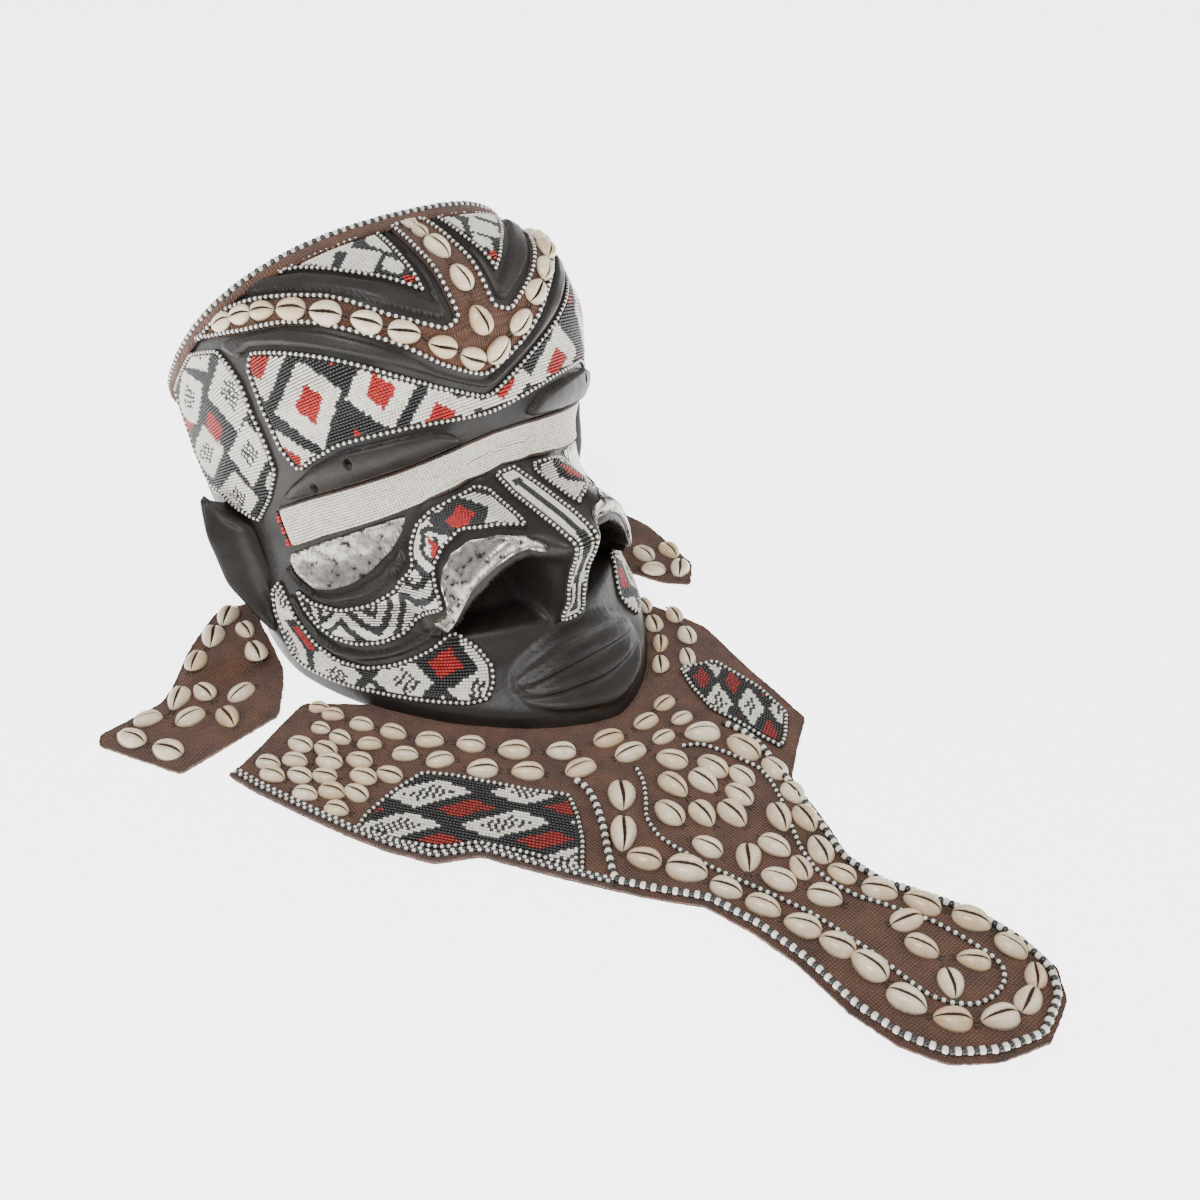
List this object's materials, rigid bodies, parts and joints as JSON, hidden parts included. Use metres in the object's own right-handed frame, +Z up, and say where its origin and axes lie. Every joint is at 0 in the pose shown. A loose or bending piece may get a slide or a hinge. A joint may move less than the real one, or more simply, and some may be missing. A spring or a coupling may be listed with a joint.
{
  "type": "kuba bwoom mask",
  "caption": "Hollow carved wood helmet mask with bead panels, cowrie strip, metal eye and nostril plates, a raffia bib and side flaps; open below and at the slanting crown.",
  "frame": {"origin": "middle of the part's box, on the table it stands on", "axes": "the face looks along -Y and the tongue of the bib points that way, +Z is up, the mask's own left is +X"},
  "size_m": [0.42, 0.6658, 0.2644],
  "materials": {
    "carved_wood": "satin, dark stained",
    "bead_work": "opaque glass seed beads in white, black and red",
    "metal_plate": "hammered tinned sheet with dark spots",
    "raffia_and_cowries": "matt brown raffia cloth sewn with glossy cream cowries"
  },
  "bodies": {
    "root": {"carved_wood_helmet": "carved_wood", "forehead_bead_panel": "bead_work", "brow_bead_band": "bead_work", "nose_bead_strip": "bead_work", "temple_bead_panel_right": "bead_work", "temple_bead_panel_left": "bead_work", "crown_bead_panel_right": "bead_work", "crown_bead_panel_left": "bead_work", "under_eye_bead_panel_right": "bead_work", "under_eye_bead_panel_left": "bead_work", "cheek_bead_panel_right": "bead_work", "cheek_bead_panel_left": "bead_work", "rim_bead_string": "bead_work", "wing_bead_panel_right": "bead_work", "wing_bead_panel_left": "bead_work", "beard_bead_border": "bead_work", "beard_inner_bead_line": "bead_work", "eye_plate_right": "metal_plate", "eye_plate_left": "metal_plate", "nostril_plate_right": "metal_plate", "nostril_plate_left": "metal_plate", "crown_cowrie_strip": "raffia_and_cowries", "rim_cloth_binding": "raffia_and_cowries", "bib_cloth": "raffia_and_cowries", "side_flap_right": "raffia_and_cowries", "side_flap_left": "raffia_and_cowries"}
  },
  "joints": []
}
